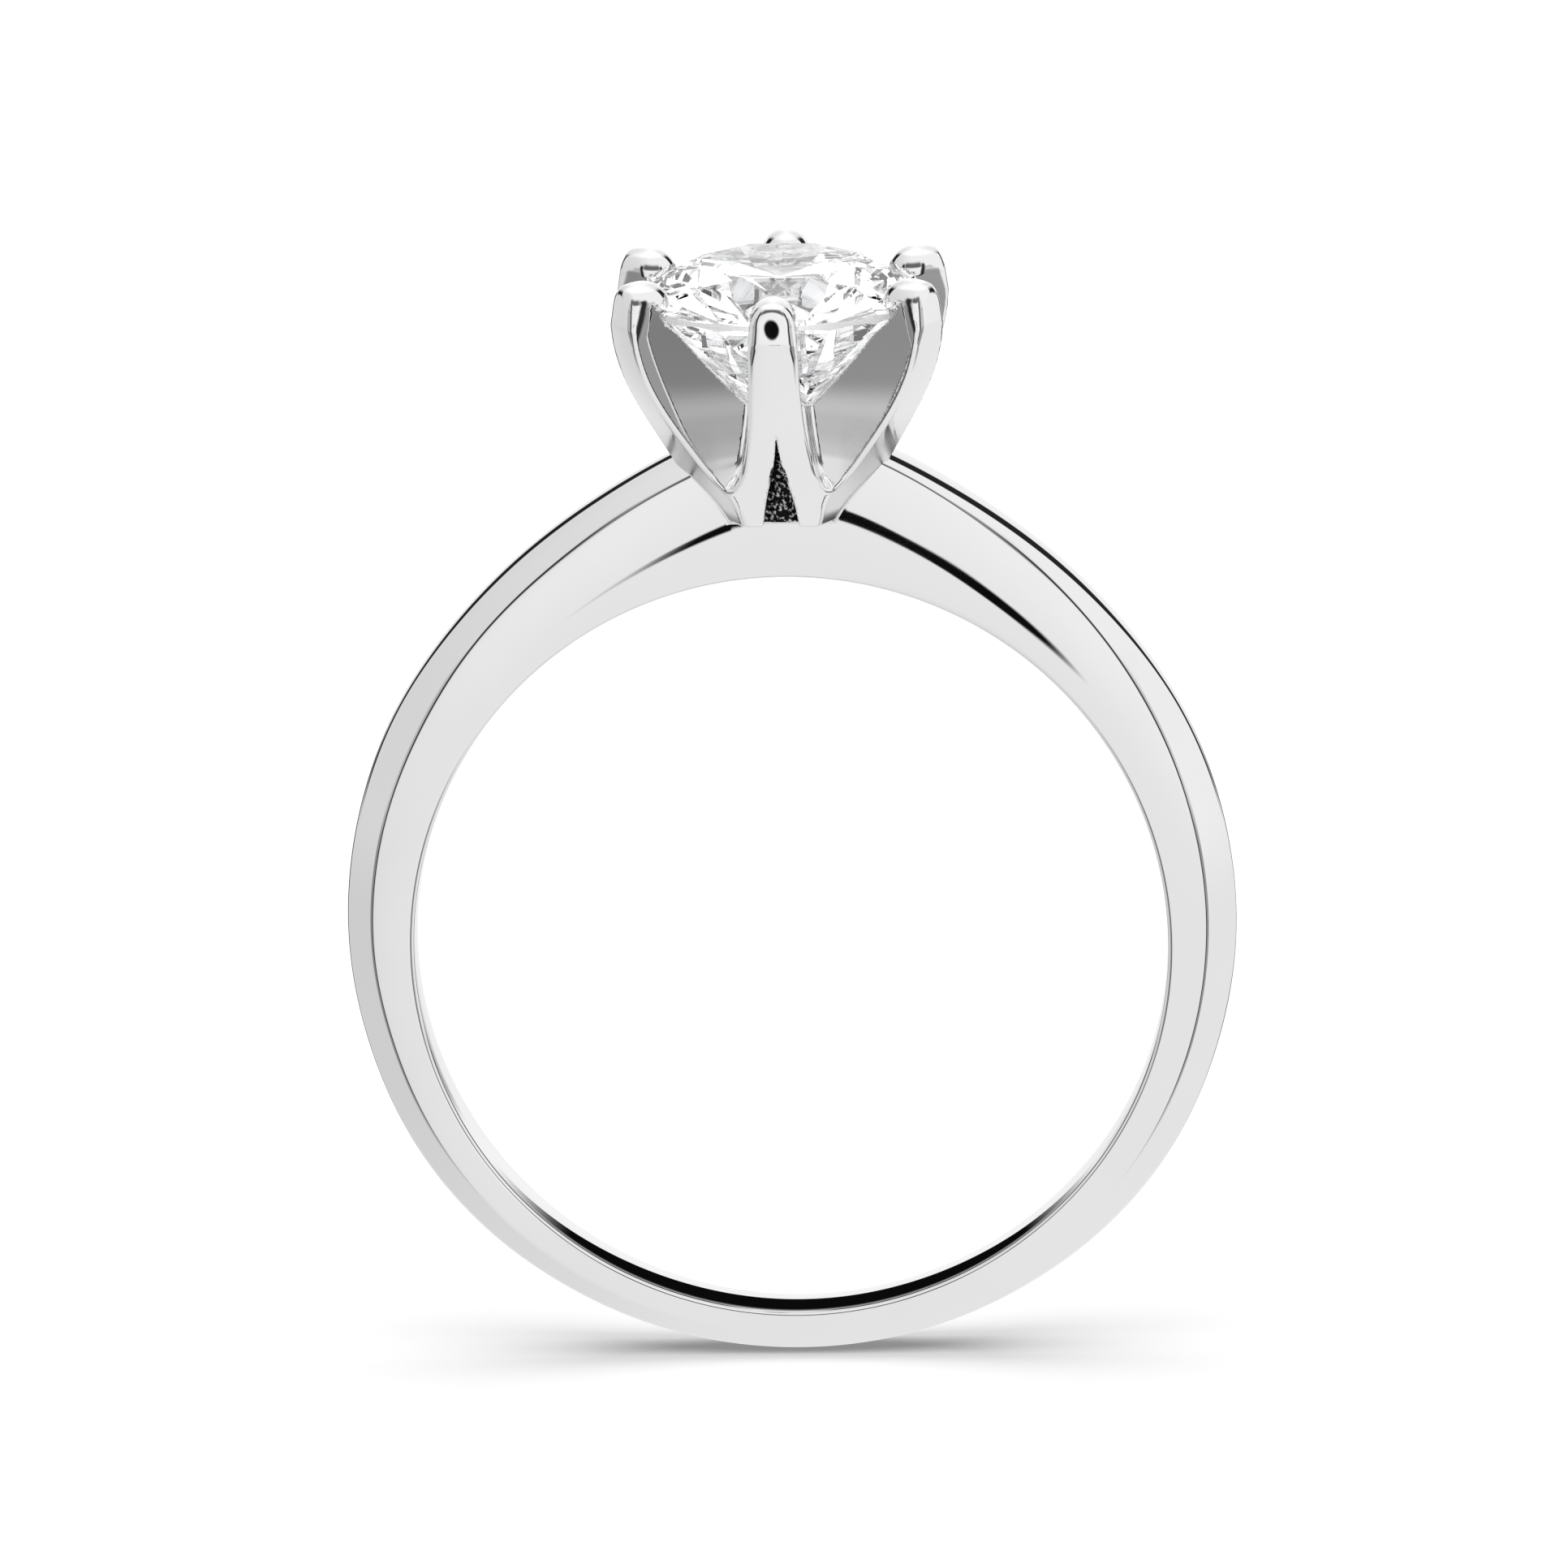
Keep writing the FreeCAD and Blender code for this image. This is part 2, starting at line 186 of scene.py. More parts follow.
# ---------------------------------------------------------------- curves
def monotone(rows, x):
    """Monotone Hermite interpolation of every column after the first, at the array x."""
    rows = np.array(rows)
    knots, values = rows[:, 0], rows[:, 1:]
    width = np.diff(knots)[:, None]
    chord = np.diff(values, axis=0) / width
    slope = np.zeros_like(values)
    before, after = chord[:-1], chord[1:]
    same = before * after > 0
    slope[1:-1][same] = (2 * before * after / np.where(same, before + after, 1))[same]
    i = np.clip(np.searchsorted(knots, x) - 1, 0, len(knots) - 2)
    t = ((x - knots[i]) / width[i, 0])[:, None]
    cube = 2 * t**3 - 3 * t**2
    return ((cube + 1) * values[i] + (t**3 - 2 * t**2 + t) * slope[i] * width[i]
            - cube * values[i + 1] + (t**3 - t**2) * slope[i + 1] * width[i])


def natural(points):
    """Natural cubic spline through (x, y) points, as a function of an array giving values and slopes."""
    x, y = np.array(points).T
    h = np.diff(x)
    n = len(x)
    rows = np.eye(n)
    right = np.zeros(n)
    for i in range(1, n - 1):
        rows[i, i - 1:i + 2] = h[i - 1], 2 * (h[i - 1] + h[i]), h[i]
        right[i] = 6 * ((y[i + 1] - y[i]) / h[i] - (y[i] - y[i - 1]) / h[i - 1])
    bend = np.linalg.solve(rows, right)

    def curve(at):
        i = np.clip(np.searchsorted(x, at) - 1, 0, n - 2)
        a = (x[i + 1] - at) / h[i]
        b = (at - x[i]) / h[i]
        value = a * y[i] + b * y[i + 1] + ((a**3 - a) * bend[i] + (b**3 - b) * bend[i + 1]) * h[i]**2 / 6
        rise = (y[i + 1] - y[i]) / h[i]
        slope = rise + ((1 - 3 * a**2) * bend[i] + (3 * b**2 - 1) * bend[i + 1]) * h[i] / 6
        return value, slope

    return curve


def height_curve(points, count=600):
    """The natural spline through (height, value) points, read from a fine table and level past both ends."""
    knots = np.linspace(points[0][0], points[-1][0], count)
    values, slopes = natural(points)(knots)

    def read(at):
        return np.interp(at, knots, values), np.interp(at, knots, slopes)

    return read


def bezier(a, b, c, count):
    """Points after the first on the quadratic curve from a to c, pulled towards b."""
    a, b, c = (np.array(p) for p in (a, b, c))
    return [a * (1 - t)**2 + b * 2 * t * (1 - t) + c * t**2 for t in np.linspace(0, 1, count)[1:]]


# ---------------------------------------------------------------- meshes
def make_object(name, points, faces):
    """A smooth object from points in millimetres."""
    mesh = bpy.data.meshes.new(name)
    mesh.from_pydata((np.asarray(points) * MM).tolist(), [], [list(face) for face in faces])
    mesh.validate()
    mesh.shade_smooth()
    piece = bpy.data.objects.new(name, mesh)
    bpy.context.scene.collection.objects.link(piece)
    return piece


def turned_profile(name, profile, count):
    """Closed surface of revolution about Z from a (radius, height) profile that starts and ends on it."""
    inner = profile[1:-1]
    turn = np.linspace(0, 2 * math.pi, count, endpoint=False)
    points = [(0, 0, profile[0][1]), (0, 0, profile[-1][1])]
    points += [(r * math.cos(a), r * math.sin(a), z) for r, z in inner for a in turn]
    last = 2 + (len(inner) - 1) * count
    faces = []
    for j in range(count):
        k = (j + 1) % count
        faces.append((0, 2 + k, 2 + j))
        faces.append((1, last + j, last + k))
        for a in range(2, last, count):
            faces.append((a + j, a + k, a + count + k, a + count + j))
    return make_object(name, points, faces)


def face_outwards(mesh):
    bm = bmesh.new()
    bm.from_mesh(mesh)
    bmesh.ops.recalc_face_normals(bm, faces=bm.faces)
    bm.to_mesh(mesh)
    bm.free()


def apply_modifiers(piece):
    shown = piece.evaluated_get(bpy.context.evaluated_depsgraph_get())
    mesh = bpy.data.meshes.new_from_object(shown)
    piece.modifiers.clear()
    old = piece.data
    piece.data = mesh
    mesh.name = piece.name
    bpy.data.meshes.remove(old)


# ---------------------------------------------------------------- band
def band_half_section(thick, foot, foot_w, drop, head_w, edge_h, head_cut):
    """Right half of a band section as (y, height above the bore) points, from the bore to the ridge."""
    w = SHANK_HALF_WIDTH
    mouth = w - EDGE_W
    bore = [(y, BORE_CROWN * (y / mouth)**2) for y in np.linspace(0.0, mouth, BORE_POINTS)[1:]]
    quarter = np.linspace(0, math.pi / 2, EDGE_POINTS)[1:]
    rise = edge_h - BORE_CROWN
    edge = [(mouth + EDGE_W * math.sin(a), BORE_CROWN + rise * (1 - math.cos(a))) for a in quarter]
    start = np.array((w, 0.0))
    end = np.array((foot_w, foot * thick))
    belly = np.array((w - (w - foot_w) * WALL_MID_LEAN, WALL_MID_HEIGHT * foot * thick))
    pull = 2 * belly - (start + end) / 2
    head = np.array((head_w, thick - drop))
    bevel_run = np.linalg.norm(head - end)
    along = (head - end) / bevel_run
    foot_cut = min(CREASE_CUT, 0.3 * bevel_run)
    last = 1 - foot_cut / np.linalg.norm(end - start)
    side = [start * (1 - t)**2 + pull * 2 * t * (1 - t) + end * t**2
            for t in np.linspace(edge_h / (foot * thick), last, SIDE_POINTS)][1:]
    onto = max(head_w - head_cut, 0.3 * head_w)
    dome = np.array((onto, thick - drop * (onto / head_w)**2))
    head_cut = min(head_cut, 0.6 * bevel_run)
    foot_crease = bezier(side[-1], end, end + along * foot_cut, FOOT_CREASE_POINTS)
    flat = bevel_run - foot_cut - head_cut
    bevel = [end + along * (foot_cut + flat * s) for s in (0.25, 0.5, 0.75, 1.0)]
    head_crease = bezier(bevel[-1], head, dome, HEAD_CREASE_POINTS)
    crown = [(onto * s, thick - (thick - dome[1]) * s**2) for s in np.linspace(1, 0, DOME_POINTS + 2)[1:-1]]
    return bore + edge + side + foot_crease + bevel + head_crease + crown


def band_rows(angles):
    """The section table at every angle, with its kinks smoothed out."""
    fine = np.arange(-180, 180, BLEND_STEP)
    rows = monotone(BAND_SECTIONS, np.abs(fine))
    reach = np.arange(-BLEND_ROWS, BLEND_ROWS + 1)
    weight = np.exp(-0.5 * (reach * BLEND_STEP / BLEND_SPREAD)**2)
    smooth = sum(w * np.roll(rows, k, axis=0) for w, k in zip(weight / weight.sum(), reach))
    smooth = np.vstack((smooth, smooth[:1]))
    stations = np.append(fine, 180)
    return np.array([np.interp(angles, stations, column) for column in smooth.T]).T


def band_mesh():
    """Points and faces of the whole hoop, before the head's seat is cut."""
    angles = np.arange(BAND_STATIONS) * 360 / BAND_STATIONS - 180
    points = []
    for angle, (thick, foot, foot_w, drop, lean, skew) in zip(angles, band_rows(angles)):
        thick -= RIDGE_INSET
        foot += skew * math.tanh(angle / SKEW_BLEND)
        head_w = foot_w - (thick - drop - foot * thick) / math.tan(math.radians(lean))
        edge_h = np.interp(abs(angle), (0, EDGE_H_ANGLE), EDGE_H)
        head_cut = np.interp(abs(angle), HEAD_CREASE[0], HEAD_CREASE[1])
        right = band_half_section(thick, foot, foot_w, drop, head_w, edge_h, head_cut)
        left = [(-y, h) for y, h in reversed(right)]
        ring = [(0.0, 0.0)] + right + [(0.0, thick)] + left
        a = math.radians(angle)
        points += [((BORE_R + h) * math.sin(a), y, (BORE_R + h) * math.cos(a)) for y, h in ring]
    n = len(ring)
    faces = []
    for i in range(BAND_STATIONS):
        j = (i + 1) % BAND_STATIONS
        faces += [(i * n + k, i * n + (k + 1) % n, j * n + (k + 1) % n, j * n + k) for k in range(n)]
    return points, faces


def seat_cutter():
    """The head's outer shape from its base up, grown by the solder."""
    heights = np.linspace(HEAD_BASE_Z, SEAT_TOP_Z, SEAT_RINGS)
    radii = height_curve(CLAW_OUTLINE)(heights)[0] + SOLDER_T
    low = HEAD_BASE_Z - SOLDER_T
    profile = [(0, low), (radii[0], low)] + list(zip(radii, heights)) + [(0, heights[-1])]
    return turned_profile("seat_cutter", profile, SEAT_SIDES)


def make_band():
    band = make_object("band", *band_mesh())
    cutter = seat_cutter()
    face_outwards(band.data)
    face_outwards(cutter.data)
    cut = band.modifiers.new("seat", "BOOLEAN")
    cut.operation = "DIFFERENCE"
    cut.solver = "EXACT"
    cut.object = cutter
    apply_modifiers(band)
    bpy.data.objects.remove(cutter)
    band.data.shade_smooth()
    band.data.set_sharp_from_angle(angle=math.radians(40))
    return band


# ---------------------------------------------------------------- claw head, as a distance field
def both(a, b, r):
    """Intersection of two distance fields with an edge of radius r."""
    u = np.maximum(a + r, 0)
    v = np.maximum(b + r, 0)
    return np.minimum(-r, np.maximum(a, b)) + np.hypot(u, v)


def either(a, b, r):
    """Union of two distance fields with a fillet of radius r."""
    return -both(-a, -b, r)


def beside(curve, across, z):
    """Distance outside a wall whose position across depends on the height."""
    value, slope = curve(z)
    return (across - value) / np.sqrt(1 + slope**2)


class HeadField:
    """Signed distance to the claw head's surface."""

    def __init__(self):
        self.outline = height_curve(CLAW_OUTLINE)
        self.half = height_curve(CLAW_HALF)
        self.arch = height_curve(ARCH_HALF)
        self.neck = height_curve(NECK_OUTER)

    def face(self, x, y, z, turn, bulge):
        """Distance outside the outer face of the claw at a bearing, bulging from flat towards the circle."""
        along = x * np.sin(turn) - y * np.cos(turn)
        out = along + (np.hypot(x, y) - along) * bulge
        top, radius, lean, bow = FILED
        up = z - top
        filed = out - (radius - lean * up - bow * up**2)
        return both(beside(self.outline, out, z), filed, EDGE_R["filed"])

    def claw(self, x, y, z, turn):
        """Distance outside the claw at a bearing, as a blade with a domed tip."""
        along = x * np.sin(turn) - y * np.cos(turn)
        across = np.abs(x * np.cos(turn) + y * np.sin(turn))
        body = both(beside(self.half, across, z), -along, EDGE_R["axis"])
        grow = np.interp(z, *TIP_GROW)
        up = np.maximum(z - TIP_AT[1], 0) / TIP_RADII[2]
        out = (along - TIP_AT[0]) / (np.where(along > TIP_AT[0], TIP_RADII[0], TIP_INNER_R) + grow)
        below = np.where(z < TIP_AT[1], np.maximum(out, 0), out)
        wide = across / (TIP_RADII[1] + grow)
        dome = (np.sqrt(below**2 + wide**2 + up**2) - 1) * TIP_RADII[1]
        return both(body, dome, EDGE_R["tip"])

    def slot(self, across, z):
        """The arch through the foot of the front and back claws."""
        return np.maximum(beside(self.arch, across, z), z - ARCH_HALF[-1][0])

    @staticmethod
    def funnel(rho, z):
        """The space under the stone, inside the claws."""
        heights, radii = np.array(FUNNEL).T
        lean = math.cos(math.atan((radii[1] - radii[0]) / (heights[1] - heights[0])))
        return np.maximum((rho - np.interp(z, heights, radii)) * lean, heights[0] - z)

    @staticmethod
    def stone(rho, z):
        """Distance to the stone's swept outline, grown by its clearance."""
        r = STONE_SPACE_R
        pavilion = (GIRDLE_Z - z) / PAVILION_H - (1 - rho / r)
        low = pavilion * PAVILION_H * math.cos(math.atan(PAVILION_H / r))
        crown_h = STONE_TOP - GIRDLE_Z - GIRDLE_T
        table_r = TABLE_PART * STONE_CUT_R
        crown = (z - GIRDLE_Z - GIRDLE_T) - crown_h * (r - rho) / (r - table_r)
        high = crown * math.cos(math.atan(crown_h / (r - table_r)))
        above = z - STONE_TOP - STONE_CLEARANCE
        return np.maximum(np.maximum(low, high), np.maximum(rho - r, above))

    def __call__(self, p):
        x, y, z = p[..., 0], p[..., 1], p[..., 2]
        rho = np.hypot(x, y)
        step = 2 * math.pi / CLAWS
        turn = np.arctan2(x, -y)
        nearest = np.round(turn / step) * step
        beyond = nearest + np.where(turn > nearest, step, -step)
        body = either(self.claw(x, y, z, nearest), self.claw(x, y, z, beyond), FILLET_R["claws"])
        t = np.interp(z, FACE_FLAT, (0.0, 1.0))
        bulge = (3 - 2 * t) * t**2 * FACE_ROUND
        faces = both(self.face(x, y, z, nearest, bulge), self.face(x, y, z, beyond, 0.0), FILLET_R["faces"])
        body = both(body, faces, EDGE_R["claw"])
        front_or_back = np.abs(np.sin(nearest)) < 0.1
        outside_arch = -np.where(front_or_back, self.slot(np.abs(x), z), 1.0)
        body = both(body, outside_arch, EDGE_R["arch"])
        body = both(body, -self.funnel(rho, z), EDGE_R["funnel"])
        neck = np.maximum(beside(self.neck, rho, z), z - FUNNEL[0][0])
        body = either(body, neck, FILLET_R["neck"])
        body = both(body, NECK_BORE_R - rho, EDGE_R["bore"])
        body = both(body, HEAD_BASE_Z - z, EDGE_R["base"])
        return both(body, -self.stone(rho, z), EDGE_R["stone"])

    def slope(self, p, h=0.004):
        """The field's gradient, by differences over h either way."""
        out = np.empty_like(p)
        for axis in range(3):
            step = np.zeros(3)
            step[axis] = h
            out[..., axis] = (self(p + step) - self(p - step)) / (2 * h)
        return out


def surface_net(field, low, step):
    """Points and quads of the zero level of a field sampled on a grid."""
    inside = field < 0
    cells = tuple(n - 1 for n in field.shape)
    offsets = [(i, j, k) for i in (0, 1) for j in (0, 1) for k in (0, 1)]

    def corner(grid, o):
        return grid[o[0]:o[0] + cells[0], o[1]:o[1] + cells[1], o[2]:o[2] + cells[2]]

    count = sum(corner(inside, o).astype(np.int8) for o in offsets)
    active = (count > 0) & (count < 8)
    index = np.full(cells, -1, np.int64)
    index[active] = np.arange(active.sum())
    base = np.argwhere(active).astype(float)
    values = {o: corner(field, o)[active] for o in offsets}
    total = np.zeros_like(base)
    hits = np.zeros(len(base))
    for a in offsets:
        for axis in range(3):
            if a[axis]:
                continue
            b = tuple(1 if n == axis else a[n] for n in range(3))
            fa, fb = values[a], values[b]
            crossing = (fa < 0) != (fb < 0)
            t = np.where(crossing, fa / np.where(crossing, fa - fb, 1), 0)
            for n in range(3):
                total[:, n] += crossing * (t if n == axis else a[n])
            hits += crossing
    points = low + (base + total / hits[:, None]) * step
    quads = []
    for axis in range(3):
        u, v = (axis + 1) % 3, (axis + 2) % 3
        here = np.moveaxis(inside, (axis, u, v), (0, 1, 2))
        ids = np.moveaxis(index, (axis, u, v), (0, 1, 2))
        a = here[:-1, 1:-1, 1:-1]
        b = here[1:, 1:-1, 1:-1]
        i, j, k = np.argwhere(a != b).T
        ring = np.stack([ids[i, j, k], ids[i, j + 1, k], ids[i, j + 1, k + 1], ids[i, j, k + 1]], 1)
        flip = ~a[i, j, k]
        ring[flip] = ring[flip][:, ::-1]
        quads.append(ring)
    return points, np.concatenate(quads)


def make_head():
    field = HeadField()
    step = HEAD_VOXEL
    reach = HEAD_HIGH[1] + 3 * step
    low = np.array((-reach, -reach, HEAD_BASE_Z - 3.3 * step))
    high = np.array((reach, reach, HEAD_HIGH[2] + 3 * step))
    axes = [np.arange(a, b, step) for a, b in zip(low, high)]
    values = np.empty([len(a) for a in axes])
    for i, x in enumerate(axes[0]):
        grid = np.stack(np.meshgrid(x, axes[1], axes[2], indexing="ij"), -1)[0]
        values[i] = field(grid)
    points, quads = surface_net(values, low, step)
    for _ in range(HEAD_REFINES):
        slope = field.slope(points)
        size = np.maximum((slope**2).sum(1), 0.2)
        move = (field(points) / size)[:, None] * slope
        points = points - np.clip(move, -step, step)
    head = make_object("claw_setting", points, quads.tolist())
    normals = field.slope(points)
    normals /= np.linalg.norm(normals, axis=1)[:, None]
    head.data.normals_split_custom_set_from_vertices(normals.tolist())
    return head


# ---------------------------------------------------------------- node graphs
def node(tree, kind, inputs=(), **settings):
    """A new node, with each input linked to a socket or set to a value."""
    made = tree.nodes.new(kind)
    for key, value in settings.items():
        setattr(made, key, value)
    for key, value in dict(inputs).items():
        if isinstance(value, bpy.types.NodeSocket):
            tree.links.new(value, made.inputs[key])
        else:
            made.inputs[key].default_value = value
    return made


def calc(tree, operation, *values):
    return node(tree, "ShaderNodeMath", enumerate(values), operation=operation).outputs[0]


def times(tree, *values):
    made = values[0]
    for value in values[1:]:
        made = calc(tree, "MULTIPLY", made, value)
    return made


def length(tree, a, b):
    return calc(tree, "SQRT", calc(tree, "ADD", times(tree, a, a), times(tree, b, b)))


def ramp(tree, value, low, high, start=0.0, end=1.0):
    """Smooth step of value from start at low to end at high."""
    made = node(tree, "ShaderNodeMapRange", {0: value, 1: low, 2: high, 3: start, 4: end},
                interpolation_type="SMOOTHSTEP")
    return made.outputs[0]


def between(tree, value, low, high, soft_low, soft_high):
    """One where value is between low and high, fading to nothing past both."""
    up = ramp(tree, value, low - soft_low, low + soft_low)
    return times(tree, up, ramp(tree, value, high - soft_high, high + soft_high, 1.0, 0.0))


def place(tree):
    return node(tree, "ShaderNodeTexCoord").outputs["Object"]


def split(tree, vector):
    return node(tree, "ShaderNodeSeparateXYZ", {0: vector}).outputs


def noise(tree, scale, detail):
    inputs = {"Vector": place(tree), "Scale": scale, "Detail": detail}
    return node(tree, "ShaderNodeTexNoise", inputs).outputs["Fac"]


def mix(tree, part, first, second):
    return node(tree, "ShaderNodeMixShader", {0: part, 1: first.outputs[0], 2: second.outputs[0]})


def new_material(name):
    """A new material, its node tree and its main shader."""
    made = bpy.data.materials.new(name)
    made.use_nodes = True
    return made, made.node_tree, made.node_tree.nodes["Principled BSDF"]


def show(tree, shader):
    tree.links.new(shader.outputs[0], tree.nodes["Material Output"].inputs["Surface"])


def metal(name, colour, roughness, swing, scratch=0.0):
    """Polished white metal: a little roughness drift and, where asked for, fine polishing marks."""
    made, tree, shader = new_material(name)
    shader.inputs["Metallic"].default_value = 1.0
    drift = noise(tree, 260.0, 3.0)
    tone = node(tree, "ShaderNodeValToRGB", {"Fac": drift})
    tone.color_ramp.elements[0].position = 0.3
    tone.color_ramp.elements[1].position = 0.7
    tone.color_ramp.elements[0].color = [c * 0.975 for c in colour] + [1]
    tone.color_ramp.elements[1].color = list(colour) + [1]
    tree.links.new(tone.outputs["Color"], shader.inputs["Base Color"])
    tree.links.new(ramp(tree, drift, 0.3, 0.7, roughness, roughness + swing), shader.inputs["Roughness"])
    if scratch:
        marks = {"Height": noise(tree, 5200.0, 2.0), "Strength": scratch, "Distance": 0.02 * MM}
        bump = node(tree, "ShaderNodeBump", marks)
        tree.links.new(bump.outputs["Normal"], shader.inputs["Normal"])
    return made, tree, shader


def band_metal():
    """Polished all over; the front half of the bore has a painted dark reflection at the bottom, a black
    patch in place of a real one.
    """
    made, tree, polished = metal("band_metal", (0.84, 0.84, 0.843), 0.0, 0.02)
    x, y, z = split(tree, place(tree))
    rho = length(tree, x, z)
    down = calc(tree, "DIVIDE", z, rho)
    bore = ramp(tree, rho, (BORE_R + PAINTED_REFLECTION_DEPTH[0]) * MM, (BORE_R + PAINTED_REFLECTION_DEPTH[1]) * MM, 1.0, 0.0)
    at_bottom = ramp(tree, down, *PAINTED_REFLECTION_SPAN, 1.0, 0.0)
    back_edge = ramp(tree, down, *PAINTED_REFLECTION_TAPER, PAINTED_REFLECTION_BACK[0] * MM, PAINTED_REFLECTION_BACK[1] * MM)
    in_front = ramp(tree, calc(tree, "SUBTRACT", y, back_edge), -0.01 * MM, 0.01 * MM, 1.0, 0.0)
    # painted reflection: a black shader without gloss, mixed in where the bore's dark reflection is painted
    painted_reflection = node(tree, "ShaderNodeBsdfPrincipled")
    painted_reflection.inputs["Base Color"].default_value = (0.004, 0.004, 0.004, 1)
    painted_reflection.inputs["Specular IOR Level"].default_value = 0.0
    show(tree, mix(tree, times(tree, bore, in_front, at_bottom), polished, painted_reflection))
    return made


def cast_metal_painted_shade(tree):
    """The grainy surface left by the mould, its grain running down to nearly black as painted shade deep
    inside the arch.
    """
    grain = noise(tree, 11000.0, 3.0)
    rough = node(tree, "ShaderNodeBsdfPrincipled", {"Metallic": 1.0, "Roughness": 0.4})
    # painted shade: the base colour runs down to nearly black for the arch's recess; the grain and the bump
    # are the casting's own
    tree.links.new(ramp(tree, grain, 0.50, 0.66, 0.01, 0.70), rough.inputs["Base Color"])
    bump = node(tree, "ShaderNodeBump", {"Height": grain, "Strength": 0.9, "Distance": 0.04 * MM})
    tree.links.new(bump.outputs["Normal"], rough.inputs["Normal"])
    return rough


# Satin metal; painted_glow is a painted glow, white light given off by the metal itself so that it shows
# whiter
def satin_metal(tree, tone, roughness, painted_glow=0.0):
    satin = node(tree, "ShaderNodeBsdfPrincipled", {"Metallic": 1.0})
    satin.inputs["Base Color"].default_value = (tone, tone, tone, 1)
    satin.inputs["Roughness"].default_value = roughness
    satin.inputs["Emission Color"].default_value = (1, 1, 1, 1)
    satin.inputs["Emission Strength"].default_value = painted_glow
    return satin


def inside_arch(tree, x, y, z):
    """One on the walls of the arch and on the neck behind it, where the rough casting and its painted shade
    go.
    """
    top_z = ARCH_HALF[-1][0] * MM
    wall = ramp(tree, z, ARCH_HALF[0][0] * MM, top_z, (ARCH_HALF[0][1] + 0.02) * MM, 0.04 * MM)
    past_wall = calc(tree, "SUBTRACT", calc(tree, "ABSOLUTE", x), wall)
    (foot_z, foot_r), (knee_z, knee_r) = CLAW_OUTLINE[0], CLAW_OUTLINE[3]
    low_r, high_r = (foot_r - CAST_SHADE_DEPTH) * MM, (knee_r - CAST_SHADE_DEPTH) * MM
    face_r = ramp(tree, z, foot_z * MM, knee_z * MM, low_r, high_r)
    past_face = calc(tree, "SUBTRACT", length(tree, x, y), face_r)
    return times(tree, ramp(tree, past_wall, 0.0, 0.02 * MM, 1.0, 0.0),
                 ramp(tree, past_face, -0.03 * MM, 0.0, 1.0, 0.0),
                 ramp(tree, z, top_z, top_z + 0.1 * MM, 1.0, 0.0))


def head_metal():
    """Polished, with satin and a painted glow on the burnished tips, satin on the side claws' feet, and
    rough casting painted nearly black as shade inside the arches.
    """
    made, tree, polished = metal("head_metal", (0.86, 0.86, 0.863), 0.0, 0.02)
    x, y, z = split(tree, place(tree))
    tip = ramp(tree, z, (TIP_AT[1] + SATIN_TIP[0]) * MM, (TIP_AT[1] + SATIN_TIP[1]) * MM)
    outwards = ramp(tree, calc(tree, "ABSOLUTE", x), SATIN_FOOT_OUT[0] * MM, SATIN_FOOT_OUT[1] * MM)
    downwards = ramp(tree, z, SATIN_FOOT_TOP[0] * MM, SATIN_FOOT_TOP[1] * MM, 1.0, 0.0)
    # the tips: satin, with a painted glow that keeps them white though no lamp lights them
    tipped = mix(tree, tip, polished, satin_metal(tree, 0.97, 0.5, 0.28))
    footed = mix(tree, times(tree, outwards, downwards), tipped, satin_metal(tree, 0.88, 0.32))
    # inside the arches: rough casting, painted nearly black as shade
    show(tree, mix(tree, inside_arch(tree, x, y, z), footed, cast_metal_painted_shade(tree)))
    return made


def solder_metal():
    made, _, _ = metal("solder", (0.8, 0.8, 0.79), 0.2, 0.1, 0.1)
    return made


def diamond_glass():
    """Clear diamond, frosted on the girdle."""
    made, tree, shader = new_material("diamond_glass")
    shader.inputs["Transmission Weight"].default_value = 1.0
    shader.inputs["IOR"].default_value = 2.417
    tone = node(tree, "ShaderNodeValToRGB", {"Fac": noise(tree, 400.0, 2.0)})
    tone.color_ramp.elements[0].color = (0.985, 0.99, 1.0, 1)
    tone.color_ramp.elements[1].color = (1.0, 1.0, 1.0, 1)
    tree.links.new(tone.outputs["Color"], shader.inputs["Base Color"])
    normal = node(tree, "ShaderNodeNewGeometry").outputs["Normal"]
    upright = calc(tree, "ABSOLUTE", split(tree, normal)["Z"])
    tree.links.new(ramp(tree, upright, 0.02, 0.05, 0.35, 0.0), shader.inputs["Roughness"])
    return made


def dress(piece, material):
    piece.data.materials.clear()
    piece.data.materials.append(material)


# ---------------------------------------------------------------- studio
def make_floor():
    """White paper, which gives off a little light of its own so that it stays white in the picture."""
    side, z = FLOOR_HALF, FLOOR_Z * MM
    mesh = bpy.data.meshes.new("floor")
    corners = [(-side, -side, z), (side, -side, z), (side, side, z), (-side, side, z)]
    mesh.from_pydata(corners, [], [(0, 1, 2, 3)])
    floor = bpy.data.objects.new("floor", mesh)
    bpy.context.scene.collection.objects.link(floor)
    made, _, shader = new_material("floor_paper")
    shader.inputs["Base Color"].default_value = (PAPER, PAPER, PAPER, 1)
    shader.inputs["Roughness"].default_value = 0.9
    shader.inputs["Specular IOR Level"].default_value = 0.0
    shader.inputs["Emission Color"].default_value = (1, 1, 1, 1)
    shader.inputs["Emission Strength"].default_value = PAPER_GLOW
    dress(floor, made)
    floor.visible_glossy = False
    floor.visible_transmission = False


